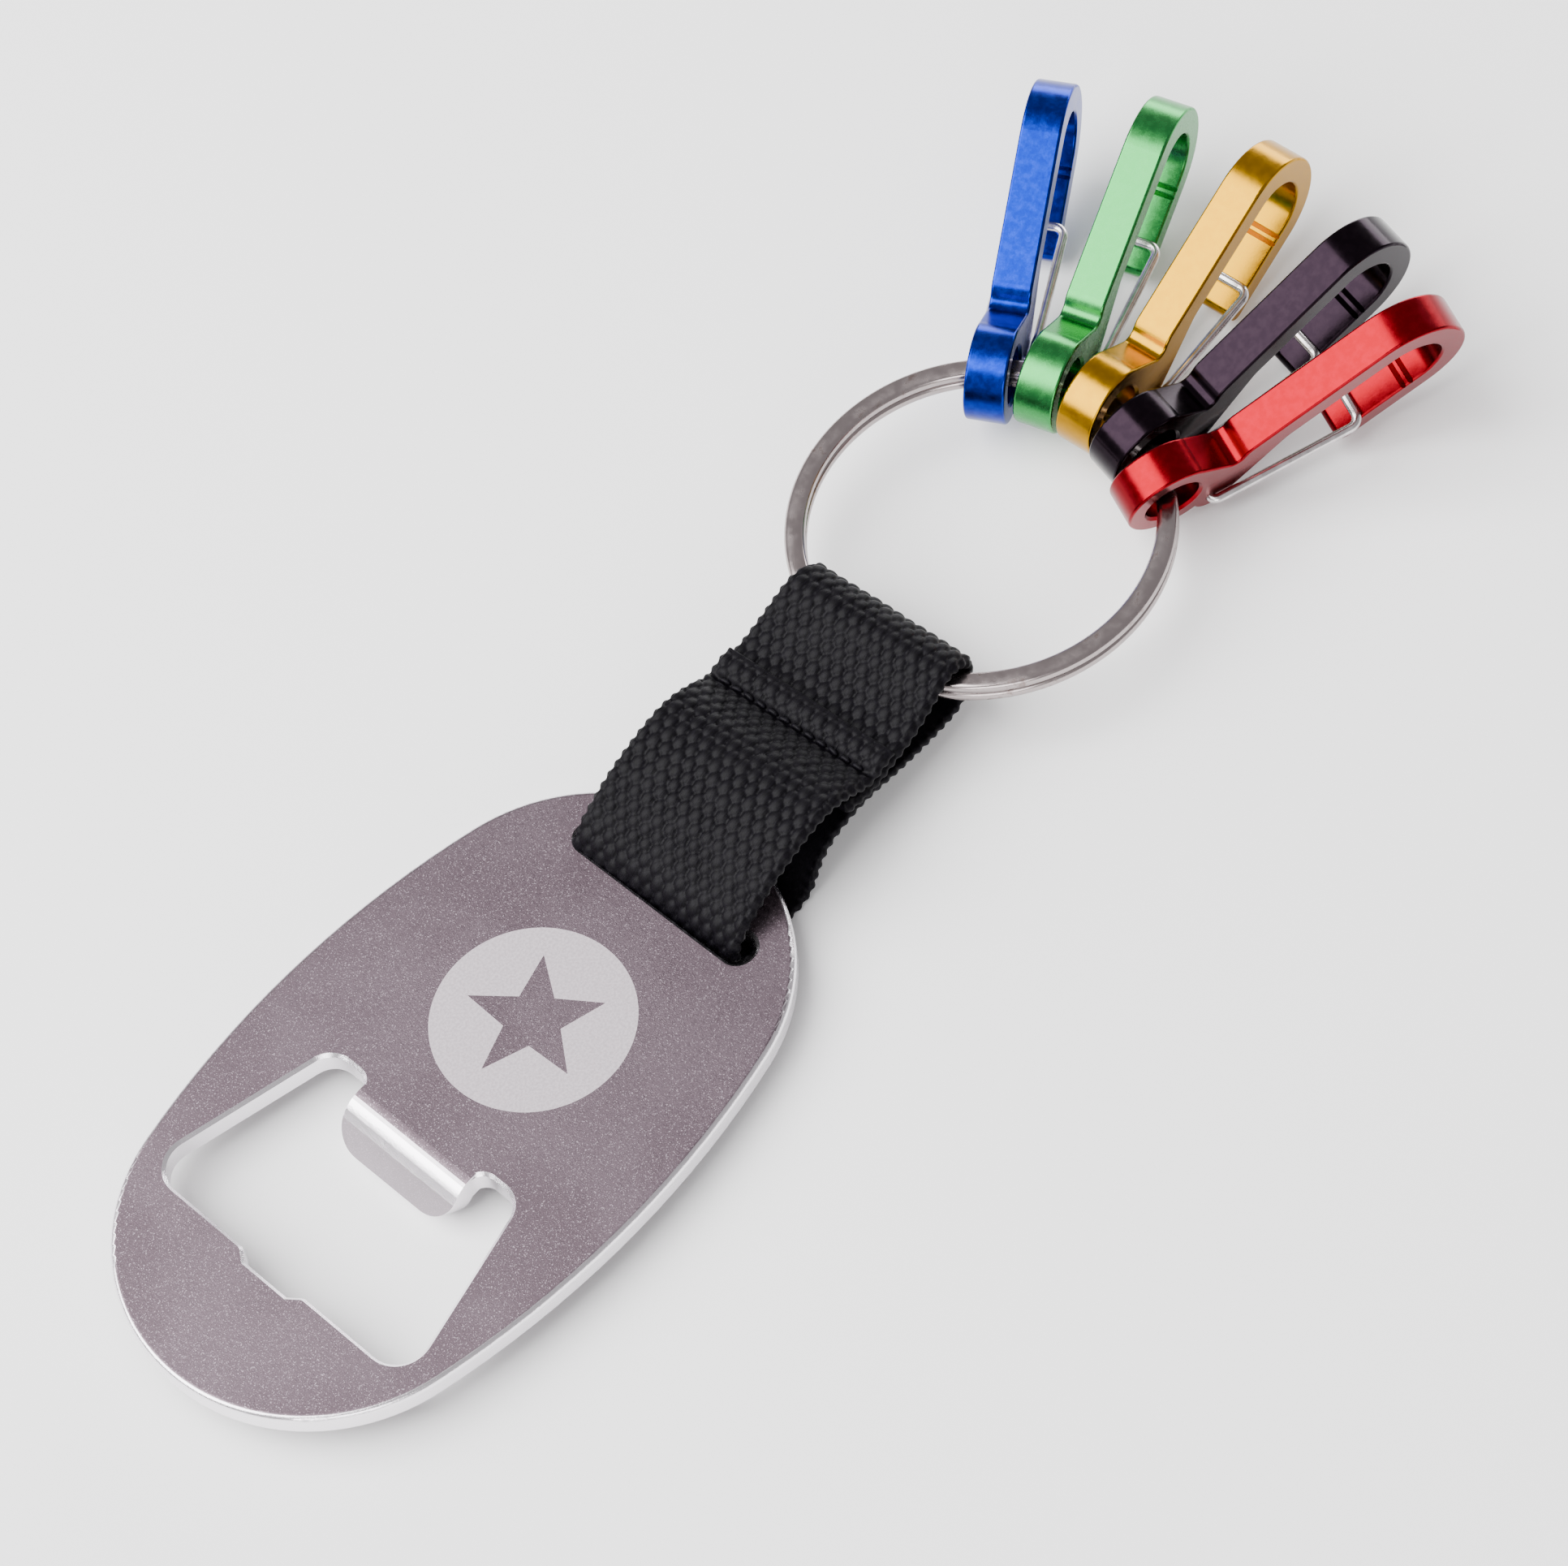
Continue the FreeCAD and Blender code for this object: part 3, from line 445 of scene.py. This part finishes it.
def strap():
    """The woven webbing, one closed mesh."""
    draw = random.Random(5)
    jitter = np.array([draw.uniform(*BEAD_SIZES) for _ in range(JITTER_COUNT)])
    at, line = even_route(strap_route(), STEP_ALONG)
    tangent = np.gradient(line, axis=0)
    tangent /= np.linalg.norm(tangent, axis=1)[:, None]
    outward = np.column_stack([tangent[:, 1], -tangent[:, 0]])

    flat = strap_half_width(0.0) - EDGE_BULGE
    across = np.linspace(-flat, flat, OUTER_COLUMNS)
    turn = np.linspace(0, math.pi, EDGE_COLUMNS + 2)[1:-1]
    back = np.linspace(flat, -flat, INNER_COLUMNS)
    # One closed section: the woven outer face, one edge, the plain inner face, the other edge.
    section_y = np.concatenate([across, flat + EDGE_BULGE * np.sin(turn), back,
                                -flat - EDGE_BULGE * np.sin(turn)])
    section_n = np.concatenate([np.full(OUTER_COLUMNS, CORE), CORE * np.cos(turn),
                                np.full(INNER_COLUMNS, -CORE), -CORE * np.cos(turn)])
    normal_y = np.concatenate([np.zeros(OUTER_COLUMNS), np.sin(turn), np.zeros(INNER_COLUMNS),
                               -np.sin(turn)])
    normal_n = np.concatenate([np.ones(OUTER_COLUMNS), np.cos(turn), -np.ones(INNER_COLUMNS),
                               -np.cos(turn)])

    along = at[:, None] + np.zeros(len(section_y))[None, :]
    wrapped = section_y[None, :] + np.zeros(len(at))[:, None]
    beads = bead_height(along, wrapped, jitter) * BEAD_HEIGHT
    inner = slice(OUTER_COLUMNS + EDGE_COLUMNS, OUTER_COLUMNS + EDGE_COLUMNS + INNER_COLUMNS)
    selvedge = 0.5 + 0.5 * np.cos(2 * math.pi * at / BEAD_ALONG)
    for first in (OUTER_COLUMNS, OUTER_COLUMNS + EDGE_COLUMNS + INNER_COLUMNS):
        beads[:, first:first + EDGE_COLUMNS] = selvedge[:, None] * SELVEDGE_HEIGHT
    beads[:, inner] *= INNER_SHARE
    # Lengthwise threads show between the columns of beads.
    outer = normal_n > 0.99
    ribs = RIB_HEIGHT * np.cos(2 * math.pi * section_y / (BEAD_ACROSS / 4))
    lift = np.maximum(beads, LEAST_LIFT + np.where(outer, ribs, 0)[None, :])

    # The stitched seam presses the weave down just behind the cut end.
    press = np.exp(-((at - SEAM_RUN) / SEAM_REACH) ** 2)[:, None] * outer[None, :]
    lift = lift * (1 - SEAM_FLATTENS * press) - SEAM_SINKS * press
    # The cut end's yarns are melted together.
    melt = np.exp(-(at / MELT_REACH) ** 2)[:, None]
    lift = lift * (1 - MELT_FLATTENS * melt)

    level = section_n[None, :] + normal_n[None, :] * lift
    y = section_y[None, :] + normal_y[None, :] * lift
    # The webbing doesn't run quite straight.
    wander = 0.06 * np.sin(at / 7.1) + 0.03 * np.sin(at / 2.3 + 1)
    narrowing = strap_half_width(line[:, 0]) / strap_half_width(0.0)
    y = y * narrowing[:, None] + (wander + strap_sideways(line[:, 0]))[:, None]
    x = line[:, 0, None] + outward[:, 0, None] * level
    z = line[:, 1, None] + outward[:, 1, None] * level
    points = np.stack([x, y, z], axis=-1).reshape(-1, 3) * MM
    faces = turned_over(tube_faces(len(at), len(section_y)))
    world = np.array(STRAP_FRAME)
    points = points @ world[:3, :3].T + world[:3, 3]
    piece = mesh_piece("webbing_strap", points, faces, yarn)
    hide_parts("strap_anchor", "strap_web")
    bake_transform(piece)


def tube_along(points, radius, sides=8):
    """Points and faces of a round tube with narrowed ends through a row of points."""
    points = [Vector(p) for p in points]
    rings = []
    side = None
    for i, point in enumerate(points):
        ahead = (points[min(i + 1, len(points) - 1)] - points[max(i - 1, 0)]).normalized()
        if side is None:
            side = ahead.orthogonal().normalized()
        side = (side - ahead * side.dot(ahead)).normalized()
        other = ahead.cross(side)
        size = radius * (0.45 if i in (0, len(points) - 1) else 1.0)
        for k in range(sides):
            angle = 2 * math.pi * k / sides
            rings.append(point + (side * math.cos(angle) + other * math.sin(angle)) * size)
    return rings, tube_faces(len(points), sides)


def stitches():
    """The seam: a row of short twisted stitches pressed into the webbing."""
    at, line = even_route(strap_route(), STEP_ALONG)
    place = int(round(SEAM_RUN / STEP_ALONG))
    along = line[place - 1] - line[place + 1]
    along /= np.linalg.norm(along)
    normal = np.array([-along[1], along[0]])
    seat = line[place] + normal * (CORE + STITCH_SEAT)
    sideways = float(strap_sideways(line[place, 0]))
    draw = random.Random(11)
    points, faces = [], []
    pitch = (WEBBING_WIDTH - STITCH_MARGIN) / STITCH_COUNT
    for index in range(STITCH_COUNT):
        middle = pitch * (index - (STITCH_COUNT - 1) / 2) + sideways
        slant = draw.uniform(-STITCH_SLANT, STITCH_SLANT)
        path = []
        for step in range(STITCH_STEPS + 1):
            share = step / STITCH_STEPS
            y = middle + pitch * STITCH_SHARE * (share - 0.5)
            lift = STITCH_ARCH * math.sin(math.pi * share) - STITCH_ARCH
            base = seat + along * (slant * (share - 0.5) * 2) + normal * lift
            path.append(STRAP_FRAME @ Vector((base[0] * MM, y * MM, base[1] * MM)))
        ring, skin = tube_along(path, STITCH_RADIUS * MM)
        start = len(points)
        points += ring
        faces += [tuple(start + i for i in face) for face in skin]
    piece = mesh_piece("seam_stitches", points, faces, thread_yarn, "strap")
    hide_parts("seam_thread")


# ---------------------------------------------------------------- split ring

def split_ring():
    """One flattened wire wound twice round, with its two cut ends at one crossing."""
    end_angle = math.radians(152.0)
    turns = 4 * math.pi
    gap = math.radians(1.2)
    crossing = math.radians(20.0)
    rows = 720
    half_axial = RING_AXIAL / 4
    half_radial = RING_RADIAL / 2
    corner = 0.54
    corner_steps = 4
    clearance = 0.01
    end_shrink = 0.90
    section = []
    for quarter in range(4):
        centre = unit(math.pi / 4 + math.pi / 2 * quarter)
        sign = np.sign(centre)
        middle = sign * np.array([half_radial - corner, half_axial - clearance - corner])
        for step in range(corner_steps + 1):
            angle = math.pi / 2 * (quarter + step / corner_steps)
            section.append(middle + corner * unit(angle))
    section = np.array(section)
    points = []
    for row in range(rows + 1):
        run = gap + (turns - 2 * gap) * row / rows
        halfway = (run - (2 * math.pi - crossing / 2)) / crossing
        share = min(max(halfway, 0), 1)
        share = share * share * (3 - 2 * share)
        level = half_axial * (2 * share - 1)
        angle = end_angle + run
        shrink = end_shrink if row in (0, rows) else 1.0
        for radial, axial in section * shrink:
            radius = RING_RADIUS + radial
            points.append(RING_FRAME @ Vector((radius * math.cos(angle) * MM,
                                               radius * math.sin(angle) * MM,
                                               (level + axial) * MM)))
    faces = turned_over(tube_faces(rows + 1, len(section)))
    piece = mesh_piece("wound_ring", points, faces, ring_metal, "ring")
    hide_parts("split_ring")


# ---------------------------------------------------------------- emblem

def emblem():
    """A plain printed disc with a five-pointed star left out, on the plate's top face."""
    centre_x, radius, thick = 9.44, 9.05, 0.02
    star_tip, star_notch = 0.70, 0.29
    sides = 120
    outer = [(centre_x + radius * math.cos(2 * math.pi * i / sides),
              radius * math.sin(2 * math.pi * i / sides)) for i in range(sides)]
    star = []
    for i in range(10):
        size = radius * (star_tip if i % 2 == 0 else star_notch)
        angle = math.pi + math.pi * i / 5
        star.append((centre_x + size * math.cos(angle), size * math.sin(angle)))
    curve = bpy.data.curves.new("emblem_outline", "CURVE")
    curve.dimensions = "2D"
    curve.fill_mode = "BOTH"
    curve.extrude = thick / 2 * MM
    for ring in (outer, star):
        spline = curve.splines.new("POLY")
        spline.points.add(len(ring) - 1)
        for point, (x, y) in zip(spline.points, ring):
            point.co = (x * MM, y * MM, 0, 1)
        spline.use_cyclic_u = True
    holder = bpy.data.objects.new("emblem_outline", curve)
    bpy.context.scene.collection.objects.link(holder)
    bpy.context.view_layer.update()
    mesh = bpy.data.meshes.new_from_object(holder)
    bpy.data.objects.remove(holder)
    mesh.transform(Matrix.Translation((0, 0, (PLATE_TOP + thick / 2) * MM)))
    mesh.materials.clear()
    mesh.materials.append(printed_emblem())
    piece = bpy.data.objects.new("emblem", mesh)
    bpy.context.scene.collection.objects.link(piece)
    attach(piece, "opener")


# ---------------------------------------------------------------- build

paint(nodes["opener_plate"], plate_metal)
for colour in CLIP_COLOURS:
    paint(nodes[f"clip_{colour}"], ANODISED[colour])
    paint(nodes[f"gate_{colour}"], gate_metal)
strap()
stitches()
split_ring()
emblem()


# ---------------------------------------------------------------- stage, lights, camera

def floor():
    """A pale plane just under the lip's tip, the strap and the clips' noses."""
    lean = math.atan(0.028)
    size = 3.0
    mesh = bpy.data.meshes.new("floor")
    corners = [(-size, -size, 0), (size, -size, 0), (size, size, 0), (-size, size, 0)]
    mesh.from_pydata(corners, [], [(0, 1, 2, 3)])
    made, _, shader = material("pale_floor")
    shader.inputs["Base Color"].default_value = (0.97, 0.97, 0.97, 1)
    shader.inputs["Roughness"].default_value = 0.85
    shader.inputs["Specular IOR Level"].default_value = 0.1
    mesh.materials.append(made)
    plane = bpy.data.objects.new("floor", mesh)
    plane.rotation_euler = (0, -lean, 0)
    plane.location = (-7.2 * MM, 0, -2.4 * MM)
    bpy.context.scene.collection.objects.link(plane)


def softbox(name, direction, distance, size, power):
    """A white rectangular light that faces the middle of the object."""
    aim = Vector((0.03, 0, 0))
    light = bpy.data.lights.new(name, "AREA")
    light.shape = "RECTANGLE"
    light.size, light.size_y = size
    light.energy = power
    lamp = bpy.data.objects.new(name, light)
    toward = Vector(direction).normalized()
    lamp.location = aim + toward * distance
    lamp.rotation_mode = "QUATERNION"
    lamp.rotation_quaternion = toward.to_track_quat("Z", "Y")
    bpy.context.scene.collection.objects.link(lamp)


def lights():
    """A pale surround, a wide key light, and a rim and a fill light."""
    world = bpy.data.worlds.new("studio")
    world.use_nodes = True
    background = world.node_tree.nodes["Background"]
    background.inputs["Color"].default_value = (1.0, 0.97, 1.0, 1)
    background.inputs["Strength"].default_value = 0.50
    bpy.context.scene.world = world
    softbox("key", (-0.50, 0.38, 0.80), 0.9, (1.00, 1.00), 30.0)
    softbox("rim", (0.95, 0.35, 0.22), 1.1, (0.9, 0.35), 9.0)
    softbox("fill", (-0.75, -0.75, 0.45), 1.2, (0.6, 0.6), 7.0)


def camera():
    """The camera, from its fitted directions and place."""
    data = bpy.data.cameras.new("camera")
    data.lens = 118.0
    data.sensor_width = 36.0
    right = Vector((0.6773, -0.7285, -0.1027)).normalized()
    toward = Vector((-0.3336, -0.4285, 0.8397))
    toward = (toward - right * toward.dot(right)).normalized()
    up = toward.cross(right)
    lens = bpy.data.objects.new("camera", data)
    lens.matrix_world = Matrix(((right.x, up.x, toward.x, -0.1090),
                                (right.y, up.y, toward.y, -0.1925),
                                (right.z, up.z, toward.z, 0.3789),
                                (0, 0, 0, 1)))
    bpy.context.scene.collection.objects.link(lens)
    bpy.context.scene.camera = lens


floor()
lights()
camera()
